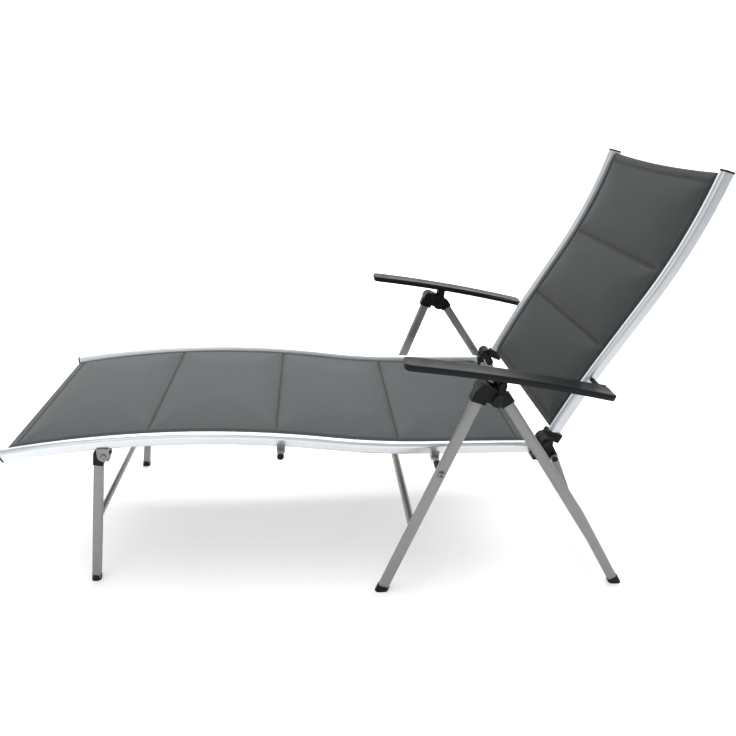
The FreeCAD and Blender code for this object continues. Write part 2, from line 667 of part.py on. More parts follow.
def arm_bracket(name, side):
    """Two plates on the knuckle bolt that carry the armrest's pin."""
    rise = ARM_PIVOT.Base - KNUCKLE.Base
    slope = math.degrees(math.atan2(rise.z, rise.x))
    foot = heading(KNUCKLE.Base.x, 0, KNUCKLE.Base.z, slope)
    plates = []
    for low, high in (("{bracket_inner}", "{bracket_inner} + {bracket_thickness}"),
                      ("{bracket_outer} - {bracket_thickness}", "{bracket_outer}")):
        across = mirrored_range(side, low, high)
        bar = block(foot, ("0 - {arm_pin}", "{arm_pin}"), across, ("0", repr(rise.Length)))
        plate = fused(bar, disc(KNUCKLE, "{arm_pin} * 3", *across),
                      disc(ARM_PIVOT, "{arm_pin} * 2", *across))
        plates.append(cut(plate, rod("{bolt_size} + {bore_clearance}", KNUCKLE, *across),
                          rod("{arm_pin}", ARM_PIVOT, *across)))
    group(f"arm_bracket_{name}", *plates)
    keep(f"arm_pin_{name}", rod("{arm_pin}", ARM_PIVOT, *mirrored_range(
        side, "{bracket_inner}", "{bracket_outer}")))


def armrest(name, side):
    """The arched armrest with the lug that its pin goes through."""
    steps = [arc_step(dim("arm_radius"), -math.degrees(
        (dim("arm_front") + dim("arm_rear")) / dim("arm_radius")))]
    tilt = math.degrees(dim("arm_front") / dim("arm_radius"))
    middle_drop = dim("arm_front") ** 2 / (2 * dim("arm_radius"))
    level = dim("arm_lift") + dim("arm_thickness") / 2 - middle_drop
    front = moved(ARM_PIVOT, side=-level, across=side * dim("leg_half"), along=-dim("arm_front"))
    front = front.multiply(FreeCAD.Placement(
        Vector(), FreeCAD.Rotation(Vector(0, 1, 0), -tilt)))
    board = pipe_body(front, steps,
                      lambda body: box_profile(body, "{arm_thickness}", "{arm_width}"))
    lug_across = mirrored_range(side, "{cheek_inner} + {socket_wall}",
                                "{cheek_outer} - {socket_wall}")
    lug = fused(disc(ARM_PIVOT, "{arm_lug}", *lug_across),
                block(ARM_PIVOT, ("0 - {arm_lift} - {lug_rise}", "0"), lug_across,
                      ("0 - {arm_lug} / 2", "{arm_lug} / 2")))
    bore = rod("{arm_pin} + {bore_clearance}", ARM_PIVOT, *lug_across)
    keep(f"armrest_{name}", cut(fused(board, lug), bore))


def arm_rack(name, side):
    """The notched strip along the inner edge of an armrest, above the adjuster stud."""
    inner_edge = "{leg_half} - {arm_width} / 2"
    across = mirrored_range(side, inner_edge + " - {rack_width}", inner_edge)
    strip = block(ARM_PIVOT, ("0 - {rack_top}", "0 - {rack_bottom}"), across,
                  ("{rack_start}", "{rack_end}"))
    stud = walk(BACK_START, BACK_STEPS, dim("stud_run"))
    reach = ARM_PIVOT.inverse().multVec(stud.Base)
    notches = []
    for count in range(5):
        centre = moved(ARM_PIVOT, side=reach.x, along=reach.z - count * dim("rack_pitch"))
        notches.append(rod("{notch_size}", centre, *across))
    keep(f"arm_rack_{name}", cut(strip, *notches))


# ---------------------------------------------------------------- foot legs

# How far the faces of a foot leg's bracket stand from the middle of the leg.
PLATE_INSIDE = "({foot_leg_width} / 2 + {plate_gap})"
PLATE_OUTSIDE = "({foot_leg_width} / 2 + {plate_gap} + {plate_thickness})"


def foot_bracket(side, side_rail):
    """The plate bent around the top of a foot leg, under the rail."""
    outside, inside = [mirrored_range(side, "{foot_leg_half} - " + half, "{foot_leg_half} + " + half)
                       for half in (PLATE_OUTSIDE, PLATE_INSIDE)]
    top = "{foot_pivot_drop} - {rail_depth} / 2 + {plate_rise}"
    channel = fused(disc(FOOT_PIVOT, "{plate_size}", *outside),
                    block(FOOT_PIVOT, ("0 - {plate_size} / 2", "{plate_size} / 2"), outside,
                          ("0", top)))
    hollow = block(FOOT_PIVOT, ("0 - {plate_size}", "{plate_size}"), inside,
                   ("0 - {plate_size}", top + " - {plate_web}"))
    return cut(channel, hollow, side_rail, rod("{foot_pin}", FOOT_PIVOT, *outside))


def foot_legs(rails):
    """The folding pair of legs at the foot end, with brackets, pins, forks and shoes."""
    brackets, pins, forks, shoes = [], [], [], []
    plate_in, plate_out = ["{foot_leg_half} " + sign + PLATE_OUTSIDE for sign in ("- ", "+ ")]
    for (name, side), side_rail in zip(SIDES.items(), rails):
        brackets.append(foot_bracket(side, side_rail))
        pins.append(headed_pin(FOOT_PIVOT, "{foot_pin}", "{foot_pin} * 1.6", side,
                               plate_in, plate_out + " + {head_length}", plate_out))
        start = moved(FOOT_LINE, across=side * dim("foot_leg_half"), along=dim("foot_leg_start"))
        leg = keep(f"foot_leg_{name}", bar_body(
            "FootLeg", start, "{foot_leg_length}",
            lambda body: box_profile(body, "{foot_leg_depth}",
                                     "{foot_leg_width} - 2 * {fork_wall}")))
        forks.append(foot_fork(side, leg))
        end = moved(start, along=dim("foot_leg_length"))
        shoes.append(shoe(leg, end, "{foot_leg_depth}"))
    group("foot_brackets", *brackets)
    group("foot_pins", *pins)
    group("foot_forks", *forks)
    group("foot_shoes", *shoes)
    keep("foot_crossbar", rod("{tube_size}", FOOT_PIVOT, "0 - (" + plate_in + ")", plate_in))
    inner_face = "{foot_leg_half} - {foot_leg_width} / 2 + {fork_wall}"
    keep("foot_stretcher", rod("{foot_tube_size}", moved(FOOT_LINE, along=dim("foot_tube_run")),
                               "0 - (" + inner_face + ")", inner_face))


def foot_fork(side, leg):
    """The plastic knuckle on top of a foot leg, which turns on the bracket's pin."""
    across = mirrored_range(side, "{foot_leg_half} - {foot_leg_width} / 2",
                            "{foot_leg_half} + {foot_leg_width} / 2")
    sleeve = block(FOOT_LINE, ("0 - {fork_size} / 2 - {foot_leg_offset}", "{fork_size} / 2"),
                   across, ("0 - {fork_size} / 5", "{foot_leg_start}"))
    grip = block(FOOT_LINE, ("0 - {fork_size} / 2", "{fork_size} / 2"), across,
                 ("0", "{foot_leg_start} * 2"))
    eye = disc(FOOT_PIVOT, "{fork_size}", *across)
    bore = rod("{foot_pin} + {bore_clearance}", FOOT_PIVOT, *across)
    return cut(fused(sleeve, grip, eye), leg, bore)


# ---------------------------------------------------------------- build and export


def build():
    """Makes every piece of the lounger."""
    rails = seat_rails()
    rail_caps("foot_end_caps", SEAT_START, SEAT_STEPS, "seat_half", 1)
    sling("seat_sling", SEAT_START, SEAT_STEPS, "seat_half", "{sling_lift}")
    seat_tubes(rails)
    for (name, side), side_rail in zip(SIDES.items(), rails):
        hinge_block(name, side, side_rail)
        arm_bracket(name, side)
        armrest(name, side)
        arm_rack(name, side)
    hinge_pins()
    back_frame()
    front_legs()
    rear_legs()
    hinge_links()
    foot_legs(rails)


def export():
    """Checks every object, then writes one STEP file for each piece."""
    doc.recompute()
    for item in doc.Objects:
        if "Invalid" in item.State or "Error" in item.State:
            raise RuntimeError(f"{item.Name} ({item.Label}) failed: {item.State}")
    for label, piece in pieces.items():
        if piece.Shape.isNull() or not piece.Shape.isValid():
            raise RuntimeError(f"{label} has no valid shape")
    os.makedirs("parts", exist_ok=True)
    for label, piece in pieces.items():
        piece.Shape.exportStep(f"parts/{label}.step")
        solids = len(piece.Shape.Solids)
        print(f"{label}: {solids} solid(s), {piece.Shape.Volume / 1000:.1f} cm3")


build()
export()
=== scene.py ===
import json
import math

import bmesh
import bpy
import numpy as np
from mathutils import Matrix, Vector


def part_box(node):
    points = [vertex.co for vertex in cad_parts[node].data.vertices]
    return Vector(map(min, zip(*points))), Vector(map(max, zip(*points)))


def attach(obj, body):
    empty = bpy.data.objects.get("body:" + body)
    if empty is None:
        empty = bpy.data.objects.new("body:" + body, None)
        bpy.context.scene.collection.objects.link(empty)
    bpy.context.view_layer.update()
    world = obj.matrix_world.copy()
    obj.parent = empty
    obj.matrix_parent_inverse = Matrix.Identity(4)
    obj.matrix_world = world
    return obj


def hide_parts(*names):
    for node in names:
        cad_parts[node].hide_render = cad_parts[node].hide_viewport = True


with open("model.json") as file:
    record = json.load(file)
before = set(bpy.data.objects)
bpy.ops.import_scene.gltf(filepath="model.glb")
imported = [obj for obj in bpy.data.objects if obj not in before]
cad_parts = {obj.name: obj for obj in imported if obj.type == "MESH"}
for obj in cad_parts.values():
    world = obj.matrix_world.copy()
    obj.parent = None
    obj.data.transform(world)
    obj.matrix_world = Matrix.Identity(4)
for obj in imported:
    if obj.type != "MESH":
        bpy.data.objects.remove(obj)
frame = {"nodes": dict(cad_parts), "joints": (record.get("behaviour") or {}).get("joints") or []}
NODES = frame["nodes"]
JOINTS = {joint["name"]: joint for joint in frame["joints"]}
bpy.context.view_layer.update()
SIDES = {"left": -1, "right": 1}
UP = Vector((0, 0, 1))
OUTSIDE = 3     # metres from the middle of the object to a point well outside it


# ---------------------------------------------------------------- lines read from the frame


class Line:
    """A curve in the side view, given by points, with the way that faces the sitter.

    Both ends are lengthened by `extend`, which makes up for the margin of cast_line.
    """

    def __init__(self, points, up, extend=0.001):
        run = np.array([(point.x, point.z) for point in points])
        ends = [run[end] - run[inner] for end, inner in ((0, 2), (-1, -3))]
        first, last = [end / np.linalg.norm(end) * extend for end in ends]
        self.points = np.vstack([run[:1] + first, run[1:-1], run[-1:] + last])
        steps = np.hypot(*np.diff(self.points, axis=0).T)
        self.stations = np.concatenate([[0], np.cumsum(steps)])
        self.length = self.stations[-1]
        ahead = np.gradient(self.points, self.stations, axis=0)
        normals = np.stack([-ahead[:, 1], ahead[:, 0]], axis=1)
        facing = 1 if normals[0] @ np.array([up.x, up.z]) > 0 else -1
        self.normals = facing * normals / np.linalg.norm(normals, axis=1)[:, None]

    def at(self, distance, across=0.0, out=0.0):
        """The point at a distance along, `across` to the side and `out` towards the sitter."""
        x, z = (np.interp(distance, self.stations, self.points[:, axis]) for axis in (0, 1))
        nx, nz = (np.interp(distance, self.stations, self.normals[:, axis]) for axis in (0, 1))
        return Vector((x + out * nx, across, z + out * nz))


def cast_line(name, up, across, spacing=0.01, margin=0.001):
    """The top and the bottom points of a CAD node, from rays cast across it along `up`."""
    solid = NODES[name]
    along = Vector((up.z, 0, -up.x))
    reach = [vertex.co.dot(along) for vertex in solid.data.vertices]
    first, last = min(reach) + margin, max(reach) - margin
    tops, bottoms = [], []
    for distance in np.linspace(first, last, round((last - first) / spacing)):
        base = along * distance + Vector((0, across, 0))
        for points, way in ((tops, up), (bottoms, -up)):
            hit, point, _, _ = solid.ray_cast(base + way * OUTSIDE, -way)
            if hit:
                points.append(point)
    return tops, bottoms


# ---------------------------------------------------------------- mesh helpers


def new_object(name, vertices, faces, body, slot):
    """A mesh piece that rides on a body; its slot is not used."""
    mesh = bpy.data.meshes.new(name)
    mesh.from_pydata([tuple(vertex) for vertex in vertices], [], faces)
    mesh.update()
    piece = bpy.data.objects.new(name, mesh)
    bpy.context.scene.collection.objects.link(piece)
    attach(piece, body)
    return piece


def face_outwards(piece):
    """Turns every face of a closed mesh outwards and shades it smooth."""
    shape = bmesh.new()
    shape.from_mesh(piece.data)
    bmesh.ops.recalc_face_normals(shape, faces=shape.faces)
    shape.to_mesh(piece.data)
    shape.free()
    piece.data.shade_smooth()


def loft(rings):
    """Vertices and faces of a closed skin over rings of equally many points."""
    count = len(rings[0])
    vertices = [point for ring in rings for point in ring]
    faces = []
    for row in range(len(rings) - 1):
        for index in range(count):
            after = (index + 1) % count
            faces.append((row * count + index, row * count + after,
                          (row + 1) * count + after, (row + 1) * count + index))
    faces.append(tuple(range(count)))
    faces.append(tuple(range(len(vertices) - count, len(vertices))))
    return vertices, faces


def subdivide(piece, count):
    """Smooths a piece with levels of subdivision."""
    levels = piece.modifiers.new("Smooth", "SUBSURF")
    levels.levels = levels.render_levels = count


def soften(piece, width, segments=2):
    """Rounds the sharp edges of a hard piece with modifiers."""
    weld = piece.modifiers.new("Weld", "WELD")
    weld.merge_threshold = 0.00001
    bevel = piece.modifiers.new("Edges", "BEVEL")
    bevel.width = width
    bevel.segments = segments
    bevel.limit_method = "ANGLE"
    bevel.angle_limit = math.radians(35)
    bevel.use_clamp_overlap = True
    bevel.harden_normals = False
    normals = piece.modifiers.new("Normals", "WEIGHTED_NORMAL")
    normals.keep_sharp = True
    piece.data.shade_smooth()


# ---------------------------------------------------------------- material helpers


def new_material(name, **settings):
    """A material, and its shader with the settings that are the same all over."""
    surface = bpy.data.materials.new(name)
    surface.use_nodes = True
    shader = surface.node_tree.nodes["Principled BSDF"]
    for socket, value in settings.items():
        shader.inputs[socket.replace("_", " ")].default_value = value
    return surface, shader


def add(surface, kind, inputs=(), **settings):
    """A new node; inputs are (socket, value or output socket) pairs."""
    node = surface.node_tree.nodes.new(kind)
    for name, value in settings.items():
        setattr(node, name, value)
    for socket, value in inputs:
        if isinstance(value, bpy.types.NodeSocket):
            surface.node_tree.links.new(value, node.inputs[socket])
        else:
            node.inputs[socket].default_value = value
    return node


def link(surface, output, target):
    """Joins an output to an input."""
    surface.node_tree.links.new(output, target)


def place(surface, turn=0.0, stretch=(1, 1, 1)):
    """Coordinates in metres fixed to the piece, turned about Y and stretched."""
    coordinates = add(surface, "ShaderNodeTexCoord").outputs["Object"]
    turned = add(surface, "ShaderNodeMapping", [("Vector", coordinates),
                                                ("Rotation", (0, turn, 0))]).outputs[0]
    return add(surface, "ShaderNodeMapping", [("Vector", turned), ("Scale", stretch)]).outputs[0]


def noise(surface, where, scale, detail=3, low=0.35, high=0.65):
    """Noise stretched to run from 0 to 1 between two of its levels."""
    field = add(surface, "ShaderNodeTexNoise", [("Vector", where), ("Scale", scale),
                                                ("Detail", detail)])
    return spread(surface, field.outputs["Fac"], (low, high), (0, 1))


def spread(surface, value, source, target):
    """A value mapped from one range to another."""
    mapped = add(surface, "ShaderNodeMapRange", [
        ("Value", value), ("From Min", source[0]), ("From Max", source[1]),
        ("To Min", target[0]), ("To Max", target[1])])
    return mapped.outputs[0]


def mixed(surface, factor, first, second):
    """A colour between two others; its sockets go by number, because their names repeat."""
    mix = add(surface, "ShaderNodeMix", data_type="RGBA")
    for socket, value in ((0, factor), (6, first), (7, second)):
        if isinstance(value, bpy.types.NodeSocket):
            link(surface, value, mix.inputs[socket])
        else:
            mix.inputs[socket].default_value = value if socket == 0 else (*value, 1)
    return mix.outputs[2]


def times(surface, first, second):
    """The product of two values."""
    return add(surface, "ShaderNodeMath", [(0, first), (1, second)],
               operation="MULTIPLY").outputs[0]


def bump(surface, shader, height, distance, strength=1.0):
    """Raises the surface by a height field; distance is its depth in metres."""
    raised = add(surface, "ShaderNodeBump", [("Height", height), ("Distance", distance),
                                             ("Strength", strength)])
    link(surface, raised.outputs[0], shader.inputs["Normal"])


def shade(colour, factor):
    """A colour made darker or lighter."""
    return tuple(min(1, part * factor) for part in colour)


# ---------------------------------------------------------------- materials


def aluminium(name, turn, colour):
    """Satin anodised aluminium, faintly brushed lengthwise, with handling marks."""
    surface, shader = new_material(name, Metallic=1.0)
    brushed = noise(surface, place(surface, turn, (1, 60, 60)), 22, detail=4)
    marks = noise(surface, place(surface), 9, detail=5, low=0.45, high=0.75)
    tone = mixed(surface, brushed, shade(colour, 0.94), shade(colour, 1.06))
    link(surface, mixed(surface, times(surface, marks, 0.25), tone, shade(colour, 0.85)),
         shader.inputs["Base Color"])
    link(surface, spread(surface, marks, (0, 1), (0.30, 0.42)), shader.inputs["Roughness"])
    bump(surface, shader, brushed, 0.00003, 0.4)
    return surface


def leg_paint():
    """Warm grey powder coat with fine metal flake and a soft orange peel."""
    surface, shader = new_material("leg_paint", Metallic=0.55)
    where = place(surface)
    flake = add(surface, "ShaderNodeTexVoronoi", [("Vector", where), ("Scale", 900.0)])
    glint = spread(surface, flake.outputs["Distance"], (0.1, 0.8), (0, 1))
    cloud = noise(surface, where, 14, detail=4)
    base = mixed(surface, cloud, (0.172, 0.173, 0.166), (0.198, 0.199, 0.192))
    link(surface, mixed(surface, times(surface, glint, 0.3), base, (0.36, 0.36, 0.345)),
         shader.inputs["Base Color"])
    link(surface, spread(surface, cloud, (0, 1), (0.36, 0.44)), shader.inputs["Roughness"])
    bump(surface, shader, noise(surface, where, 260, detail=2), 0.00006, 0.5)
    return surface


def moulded(name, colour, roughness, grain):
    """Moulded plastic: a fine grain, paler where hands and edges rub it."""
    surface, shader = new_material(name, Specular_IOR_Level=0.12)
    where = place(surface)
    rubbed = noise(surface, where, 24, detail=6, low=0.5, high=0.8)
    speckle = noise(surface, where, 420, detail=2)
    base = mixed(surface, speckle, shade(colour, 0.85), shade(colour, 1.15))
    link(surface, mixed(surface, times(surface, rubbed, 0.5), base, shade(colour, 1.8)),
         shader.inputs["Base Color"])
    link(surface, spread(surface, rubbed, (0, 1), (roughness, roughness + 0.14)),
         shader.inputs["Roughness"])
    bump(surface, shader, noise(surface, where, grain, detail=2), 0.0001, 0.45)
    return surface


def steel(name, stained, clean):
    """Plated or blackened steel with a little grain and a stain here and there."""
    surface, shader = new_material(name, Metallic=0.9)
    where = place(surface)
    stain = noise(surface, where, 130, detail=5)
    link(surface, mixed(surface, stain, stained, clean), shader.inputs["Base Color"])
    link(surface, spread(surface, stain, (0, 1), (0.28, 0.5)), shader.inputs["Roughness"])
    bump(surface, shader, noise(surface, where, 900, detail=2), 0.00004, 0.5)
    return surface


def woven(name, turn, dark, light, pitch):
    """Coated yarn in a plain weave; the yarns run along the sling and across it."""
    surface, shader = new_material(name, Sheen_Weight=0.06, Sheen_Roughness=0.5,
                                   Specular_IOR_Level=0.22)
    where = place(surface, turn)
    scale = math.pi / 10 / pitch    # a wave of scale 1 repeats every pi / 10
    yarns = [add(surface, "ShaderNodeTexWave", [("Vector", where), ("Scale", scale),
                                                ("Distortion", 0.25), ("Detail Scale", 0.4)],
                 bands_direction=way).outputs["Fac"] for way in ("X", "Y")]
    cloth = times(surface, yarns[0], yarns[1])
    cloud = noise(surface, where, 5, detail=4)
    slubs = noise(surface, place(surface, turn, (1, 22, 1)), 45, detail=3)
    base = mixed(surface, cloth, dark, light)
    streaked = mixed(surface, times(surface, slubs, 0.25), base, shade(light, 1.12))
    link(surface, mixed(surface, times(surface, cloud, 0.22), streaked, shade(dark, 1.1)),
         shader.inputs["Base Color"])
    link(surface, spread(surface, cloth, (0, 1), (0.72, 0.58)), shader.inputs["Roughness"])
    bump(surface, shader, cloth, 0.00035, 0.6)
    return surface


def thread_material():
    """Dark polyester sewing thread."""
    surface, shader = new_material("thread", Sheen_Weight=0.3)
    twist = add(surface, "ShaderNodeTexWave", [("Vector", place(surface)), ("Scale", 260.0)],
                bands_direction="DIAGONAL").outputs["Fac"]
    link(surface, mixed(surface, twist, (0.008, 0.0085, 0.009), (0.02, 0.021, 0.022)),
         shader.inputs["Base Color"])
    link(surface, spread(surface, twist, (0, 1), (0.75, 0.55)), shader.inputs["Roughness"])
    bump(surface, shader, twist, 0.0001)
    return surface


def floor_material():
    """A pale matt studio floor with a hardly visible unevenness."""
    surface, shader = new_material("studio", Specular_IOR_Level=0.1, Emission_Strength=0.15,
                                   Emission_Color=(1, 1, 1, 1))
    cloud = noise(surface, place(surface), 1.5)
    link(surface, mixed(surface, cloud, (0.93, 0.93, 0.93), (0.95, 0.95, 0.95)),
         shader.inputs["Base Color"])
    link(surface, spread(surface, cloud, (0, 1), (0.85, 0.9)), shader.inputs["Roughness"])
    return surface


# ---------------------------------------------------------------- padded slings


# Lengths in metres.
HEM = 0.018             # width of the flat hem along each rail
END_HEM = 0.02          # width of the hem at each end
CELL = 0.008            # size of a cell of the cloth mesh
SEAM_PULL = 0.003       # distance in which the cloth rises out of a seam
CROWN_PULL = 0.03       # distance in which the padding comes to its full height
SAG_RUN = 0.15          # length of the free end that sags between the rails
SWELL_CAP = 0.004       # most that the simulation may move a point
STITCH = 0.0012         # thickness of a stitch
STITCH_LENGTH = 0.005   # pitch of the stitches
STITCH_INSET = 0.001    # distance of the long stitch lines from the hems' inner edges
SEEK_FROM = 0.03        # height over the cloth from which its surface is sought
SEEK_REACH = 0.05       # how far down from there

# Distances from the middle of the cloth, as shares of half the CAD slab's thickness.
HEM_TOP = 0.9           # upper layer, in the hems
HEM_BOTTOM = 0.3        # lower layer, in the hems
SEAM_RISE = 0.05        # both layers, in a seam
PAD_TOP = 1.1           # what the upper layer gains beside a seam
PAD_BOTTOM = 0.9        # what the lower layer gains beside a seam
CROWN_RISE = 1.2        # what the upper layer gains further in

BORDER_FOLD = 0.35      # share of the distance that is left at the outer border
SWELL_FRAMES = 20       # length of the simulation


class Sling:
    """A padded sling: flat hems along its edges and swollen panels between its sewn lines."""

    def __init__(self, node, up, panels, body, seam_side, sag):
        tops, bottoms = cast_line(node, up, 0)
        middles = [(top + bottom) / 2 for top, bottom in zip(tops, bottoms)]
        self.line = Line(middles, up)
        self.depth = (tops[len(tops) // 2] - bottoms[len(tops) // 2]).length / 2
        self.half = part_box(node)[1].y
        self.body, self.seam_side, self.sag = body, seam_side, sag
        inner = self.line.length - 2 * END_HEM
        self.seams = [END_HEM + inner * part / panels for part in range(panels + 1)]

    def point(self, distance, across, out=0.0):
        """A point of the cloth; its last end sags between the rails."""
        ramp = max(0, distance - self.line.length + SAG_RUN) / SAG_RUN
        sag = self.sag * ramp ** 2 * (1 - (across / self.half) ** 2)
        return self.line.at(distance - sag, across, out)

    def thickness(self, distance, across, layer):
        """How far the upper (1) or lower (-1) layer stands off the middle of the cloth."""
        side = self.half - HEM - abs(across)
        end = min(distance - self.seams[0], self.seams[-1] - distance)
        if side <= 0 or end <= 0:
            return self.depth * (HEM_TOP if layer > 0 else HEM_BOTTOM)
        inside = min(side, *[abs(distance - seam) for seam in self.seams])
        crease = 1 - math.exp(-inside / SEAM_PULL)
        crown = 1 - math.exp(-inside / CROWN_PULL)
        if layer > 0:
            return self.depth * (SEAM_RISE + PAD_TOP * crease + CROWN_RISE * crown)
        return self.depth * (SEAM_RISE + PAD_BOTTOM * crease)

    def grid(self):
        """Stations along and across: one on every sewn line and even steps between them."""
        drawn_in = (-self.seam_side, 0, self.seam_side)
        sides = [seam + side for seam in self.seams for side in drawn_in]
        alongs = stations([0, *sides, self.line.length])
        across = stations([-self.half, HEM - self.half, self.half - HEM, self.half])
        return alongs, across


def stations(marks):
    """Even steps of about one cell between marks, each mark included."""
    points = [marks[0]]
    for start, end in zip(marks, marks[1:]):
        count = max(1, round((end - start) / CELL))
        points += [start + (end - start) * step / count for step in range(1, count + 1)]
    return points


def sling_mesh(sling, name, slot):
    """The sling's closed mesh, an upper and a lower layer that meet around the border.

    Also returns the numbers of the points that the simulation holds.
    """
    alongs, across = sling.grid()
    vertices, held = [], []
    for layer in (1, -1):
        for distance in alongs:
            for side in across:
                stand_off = sling.thickness(distance, side, layer)
                if is_border(sling, distance, side):
                    stand_off *= BORDER_FOLD
                if layer < 0 or is_sewn(sling, distance, side):
                    held.append(len(vertices))
                vertices.append(sling.point(distance, side, layer * stand_off))
    rows, columns = len(alongs), len(across)
    faces = layer_faces(rows, columns) + border_faces(rows, columns)
    piece = new_object(name, vertices, faces, sling.body, slot)
    face_outwards(piece)
    mark_hems(piece, sling, alongs, columns)
    return piece, held


def is_border(sling, distance, side):
    """True at the outermost points of the cloth."""
    edge = sling.half - abs(side) < CELL / 3
    return edge or distance < CELL / 3 or sling.line.length - distance < CELL / 3


def is_sewn(sling, distance, side):
    """True in the hems and on the seams."""
    hem = abs(side) > sling.half - HEM - CELL / 3
    seam = min(abs(distance - line) for line in sling.seams) < sling.seam_side / 2
    end = not sling.seams[0] < distance < sling.seams[-1]
    return hem or seam or end


def mark_hems(piece, sling, alongs, columns):
    """Gives the faces in the long hems and the seams the second, darker material; in the seams its
    darkness is painted crease shade.
    """
    rows = len(alongs)
    for face in piece.data.polygons:
        row = min(face.vertices) % (rows * columns) // columns
        middle = (alongs[row] + alongs[min(row + 1, rows - 1)]) / 2
        in_seam_shade = min(abs(middle - seam) for seam in sling.seams) < sling.seam_side
        in_hem = abs(face.center.y) > sling.half - HEM
        face.material_index = int(in_seam_shade or in_hem)


def layer_faces(rows, columns):
    """The faces of the two layers."""
    faces = []
    for base in (0, rows * columns):
        for row in range(rows - 1):
            for column in range(columns - 1):
                corner = base + row * columns + column
                faces.append((corner, corner + 1, corner + columns + 1, corner + columns))
    return faces


def border_faces(rows, columns):
    """The faces that join the two layers around the border."""
    rim = list(range(columns))
    rim += [row * columns + columns - 1 for row in range(1, rows)]
    rim += [(rows - 1) * columns + column for column in range(columns - 2, -1, -1)]
    rim += [row * columns for row in range(rows - 2, 0, -1)]
    below = rows * columns
    pairs = zip(rim, rim[1:] + rim[:1])
    return [(here, after, after + below, here + below) for here, after in pairs]


def swell(piece, held):
    """Blows up the panels between the held points by cloth simulation and keeps the shape."""
    group = piece.vertex_groups.new(name="sewn")
    group.add(held, 1.0, "REPLACE")
    cloth = piece.modifiers.new("Cloth", "CLOTH")
    cloth.settings.vertex_group_mass = "sewn"
    cloth.settings.quality = 6
    cloth.settings.use_pressure = True
    cloth.settings.uniform_pressure_force = 4
    cloth.settings.tension_stiffness = 40
    cloth.settings.compression_stiffness = 40
    cloth.settings.shear_stiffness = 20
    cloth.settings.bending_stiffness = 8
    cloth.settings.effector_weights.gravity = 0
    cloth.collision_settings.use_collision = False
    scene = bpy.context.scene
    rest = [vertex.co.copy() for vertex in piece.data.vertices]
    for number in range(1, SWELL_FRAMES + 1):
        scene.frame_set(number)
    view = bpy.context.evaluated_depsgraph_get()
    swollen = [vertex.co.copy() for vertex in piece.evaluated_get(view).data.vertices]
    piece.modifiers.remove(cloth)
    scene.frame_set(1)
    for vertex, start, end in zip(piece.data.vertices, rest, swollen):
        move = end - start
        vertex.co = start + move * min(1, SWELL_CAP / max(move.length, 1e-9))


def stitch_rings(start, end, normal):
    """One stitch: rings of six points around the thread, smaller at its two ends."""
    side = (end - start).normalized().cross(normal).normalized()
    rings = []
    for part, size in ((0, 0.4), (0.2, 1), (0.8, 1), (1, 0.4)):
        middle = start.lerp(end, part) + normal * (STITCH * 0.3 * size)
        rings.append([middle + (side * math.cos(turn) + normal * math.sin(turn))
                      * STITCH * 0.5 * size for turn in np.arange(6) * math.pi / 3])
    return rings


def stitches(name, lines, body, slot):
    """Short raised stitches along lines of (point, normal) pairs."""
    vertices, faces = [], []
    for line in lines:
        for (start, normal), (end, _) in zip(line[::2], line[1::2]):  # every other gap is open
            points, skin = loft(stitch_rings(start, end, normal))
            faces += [tuple(index + len(vertices) for index in face) for face in skin]
            vertices += points
    piece = new_object(name, vertices, faces, body, slot)
    face_outwards(piece)
    return piece


def sewn_lines(sling, surface):
    """Where the stitches run on the upper layer: both hems, both ends and every seam."""
    marks = []
    side = sling.half - HEM + STITCH_INSET
    runs = np.arange(sling.seams[0], sling.seams[-1], STITCH_LENGTH / 2)
    for across in (-side, side):
        marks.append([(distance, across) for distance in runs])
    spans = np.arange(-side, side, STITCH_LENGTH / 2)
    for seam in sling.seams:
        marks.append([(seam, across) for across in spans])
    lines = []
    for run in marks:
        line = []
        for distance, across in run:
            above = sling.point(distance, across, SEEK_FROM)
            normal = (above - sling.point(distance, across)).normalized()
            hit, point, _, _ = surface.ray_cast(above, -normal, distance=SEEK_REACH)
            line.append((point if hit else sling.point(distance, across), normal))
        lines.append(line)
    return lines


def make_sling(sling, node, slot, cloth, hem_cloth_and_seam_shade, thread):
    """Builds a padded sling over its CAD slab and sews it."""
    piece, held = sling_mesh(sling, node.replace("_sling", "_pad"), slot)
    swell(piece, held)
    subdivide(piece, 1)
    for surface in (cloth, hem_cloth_and_seam_shade):
        piece.data.materials.append(surface)
    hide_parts(node)
    bpy.context.view_layer.update()
    stitching = node.replace("_sling", "_stitching")
    thread_piece = stitches(stitching, sewn_lines(sling, piece), sling.body, slot)
    thread_piece.data.materials.append(thread)


# ---------------------------------------------------------------- armrests


ARM_RINGS = 49          # sections along an armrest
ARM_ROUNDING = 0.03     # length of its rounded ends, in metres
ARM_MARGIN = 0.004      # how far inside its ends the rays start

# Widths of an armrest, as shares of its half width.
ARM_TIP = 0.59          # at its ends
FRONT_GAIN = 0.3        # what the rounding at the front adds
REAR_GAIN = 0.15        # what the rounding at the rear adds
ARM_WAIST = 0.04        # how much it is drawn in halfway

LUG_RADIUS = 0.0088     # round end of the lug under an armrest
LUG_RISE = 0.0115       # from the pin up to the armrest
LUG_FACES = (0.3125, 0.3415)    # from the middle plane to the lug's two faces

# An armrest's section, as shares of its half width and of its thickness, below its top.
ARM_OUTLINE = ((-0.95, -1), (-1.0, -0.35), (-0.98, -0.1), (-0.9, -0.01), (-0.78, -0.02), (0, -0.12),
               (0.78, -0.02), (0.9, -0.01), (0.98, -0.1), (1.0, -0.35), (0.95, -1), (0.86, -1),
               (0.8, -0.5), (-0.8, -0.5), (-0.86, -1))


